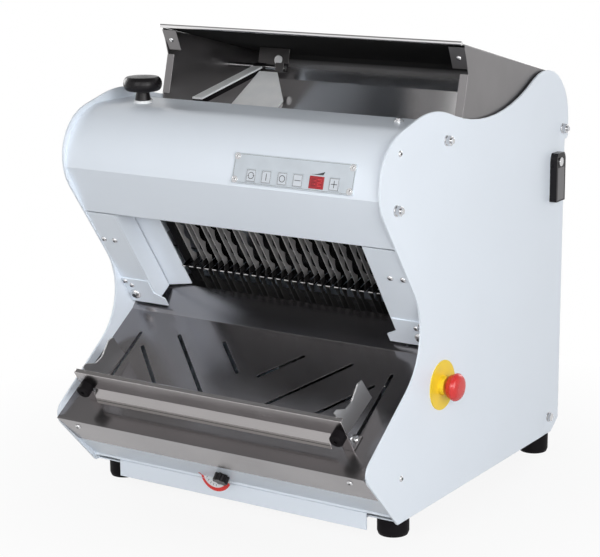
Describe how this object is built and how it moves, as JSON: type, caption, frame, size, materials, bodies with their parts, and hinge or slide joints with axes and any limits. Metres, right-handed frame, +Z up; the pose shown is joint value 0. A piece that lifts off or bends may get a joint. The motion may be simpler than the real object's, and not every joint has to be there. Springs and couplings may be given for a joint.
{
  "type": "bread slicer machine",
  "caption": "Countertop bread slicer: white sheet-metal casing, slatted blade frames, sloping slotted outfeed tray with loaf stop, hinged loading lid, keypad and emergency stop.",
  "frame": {"origin": "middle of the machine's outline, on the counter under its feet", "axes": "+X to the operator's right, the operator stands at -Y, +Z up"},
  "size_m": [0.6046, 0.6401, 0.7083],
  "materials": {
    "white_paint": "white powder coat",
    "brushed_steel": "brushed stainless sheet",
    "polished_steel": "polished stainless sheet",
    "bright_fasteners": "plated steel",
    "blade_steel": "ground blade steel",
    "frame_steel": "grey painted steel",
    "black_rubber": "black rubber",
    "black_plastic": "black moulded plastic",
    "white_plastic": "white moulded plastic",
    "control_film": "grey membrane film",
    "display_window": "red display window",
    "yellow_plastic": "yellow plastic",
    "red_plastic": "red plastic"
  },
  "bodies": {
    "casing": {"side_panel_left": "white_paint", "side_panel_right": "white_paint", "base_plate": "white_paint", "rear_cover": "white_paint", "hood": "white_paint", "kick_panel": "white_paint", "feet": "black_rubber", "tie_rods": "bright_fasteners", "hinge_bolts": "bright_fasteners", "tie_nuts": "bright_fasteners", "throat_plates": "white_paint", "inner_walls": "white_paint", "hook_brackets": "brushed_steel", "tray": "brushed_steel", "exit_plate": "polished_steel", "loaf_floor": "brushed_steel", "guide_rods": "bright_fasteners", "guide_blocks": "frame_steel", "motor": "frame_steel", "bearing_blocks": "frame_steel", "drive_belt": "black_rubber", "control_plate": "control_film", "display": "display_window", "knob_collar": "white_plastic", "dial_switch": "black_plastic", "estop_plate": "yellow_plastic", "estop_collar": "yellow_plastic", "lid_sensor": "black_plastic", "cover_screws": "bright_fasteners"},
    "lid": {"lid_sheet": "brushed_steel", "lid_sides": "brushed_steel", "lid_rivets": "bright_fasteners", "pusher_bracket": "brushed_steel", "pusher_rod": "bright_fasteners"},
    "pusher": {"pusher_clamp": "black_plastic", "pusher_arm": "white_paint", "pusher_pad": "black_rubber", "pusher_plate": "white_paint"},
    "loaf_stop": {"stop_bar": "brushed_steel", "stop_fingers": "brushed_steel", "stop_bumpers": "black_rubber", "stop_nuts": "bright_fasteners"},
    "front_blade_unit": {"frame_front": "frame_steel", "blades_front": "blade_steel", "con_rod_front": "frame_steel"},
    "rear_blade_unit": {"frame_rear": "frame_steel", "blades_rear": "blade_steel", "con_rod_rear": "frame_steel"},
    "crank": {"crankshaft": "frame_steel", "crank_pulley": "frame_steel"},
    "motor_drive": {"motor_pulley": "frame_steel"},
    "drawer": {"crumb_drawer": "white_paint"},
    "dial": {"dial_knob": "black_plastic"},
    "top_knob": {"hood_knob": "black_plastic"},
    "emergency_button": {"estop_button": "red_plastic"},
    "mode_key": {"key_mode": "control_film"},
    "start_key": {"key_start": "control_film"},
    "stop_key": {"key_stop": "control_film"},
    "minus_key": {"key_minus": "control_film"},
    "plus_key": {"key_plus": "control_film"}
  },
  "joints": [
    {"name": "lid_hinge", "type": "hinge", "parent": "casing", "child": "lid", "pos_m": [-0.01066, 0.29824, 0.5376], "axis": [-1, 0, 0], "range_deg": [-16, 35]},
    {"name": "pusher_pivot", "type": "hinge", "parent": "lid", "child": "pusher", "pos_m": [-0.21066, 0.15311, 0.6241], "axis": [-1, 0, 0], "range_deg": [-10, 10]},
    {"name": "stop_slide", "type": "slide", "parent": "casing", "child": "loaf_stop", "axis": [0, 0.829, 0.5592], "range_m": [0, 0.1]},
    {"name": "front_blades_stroke", "type": "slide", "parent": "casing", "child": "front_blade_unit", "axis": [0, -0.5592, 0.829], "range_m": [-0.012, 0.012]},
    {"name": "rear_blades_stroke", "type": "slide", "parent": "casing", "child": "rear_blade_unit", "axis": [0, -0.5592, 0.829], "range_m": [-0.012, 0.012]},
    {"name": "crank_turn", "type": "hinge", "parent": "casing", "child": "crank", "pos_m": [-0.01066, 0.03466, 0.16485], "axis": [1, 0, 0], "continuous": true},
    {"name": "motor_turn", "type": "hinge", "parent": "casing", "child": "motor_drive", "pos_m": [-0.01066, 0.19776, 0.16485], "axis": [1, 0, 0], "continuous": true},
    {"name": "drawer_slide", "type": "slide", "parent": "casing", "child": "drawer", "axis": [0, -1, 0], "range_m": [0, 0.25]},
    {"name": "dial_turn", "type": "hinge", "parent": "casing", "child": "dial", "pos_m": [-0.02783, -0.24482, 0.05632], "axis": [0, -0.6527, -0.7576], "range_deg": [-90, 90]},
    {"name": "top_knob_turn", "type": "hinge", "parent": "casing", "child": "top_knob", "pos_m": [-0.2245, -0.16192, 0.6], "axis": [0, 0, 1], "range_deg": [-180, 180]},
    {"name": "emergency_press", "type": "slide", "parent": "casing", "child": "emergency_button", "axis": [-1, 0, 0], "range_m": [0, 0.005], "stiffness_N_per_m": 1500},
    {"name": "mode_key_press", "type": "slide", "parent": "casing", "child": "mode_key", "axis": [0, 0.9548, -0.2974], "range_m": [0, 0.0005], "stiffness_N_per_m": 400},
    {"name": "start_key_press", "type": "slide", "parent": "casing", "child": "start_key", "axis": [0, 0.9548, -0.2974], "range_m": [0, 0.0005], "stiffness_N_per_m": 400},
    {"name": "stop_key_press", "type": "slide", "parent": "casing", "child": "stop_key", "axis": [0, 0.9548, -0.2974], "range_m": [0, 0.0005], "stiffness_N_per_m": 400},
    {"name": "minus_key_press", "type": "slide", "parent": "casing", "child": "minus_key", "axis": [0, 0.9548, -0.2974], "range_m": [0, 0.0005], "stiffness_N_per_m": 400},
    {"name": "plus_key_press", "type": "slide", "parent": "casing", "child": "plus_key", "axis": [0, 0.9548, -0.2974], "range_m": [0, 0.0005], "stiffness_N_per_m": 400}
  ],
  "couplings": [
    {"joint": "rear_blades_stroke", "follows": "front_blades_stroke", "ratio": -1},
    {"joint": "motor_turn", "follows": "crank_turn", "ratio": 2.5}
  ]
}
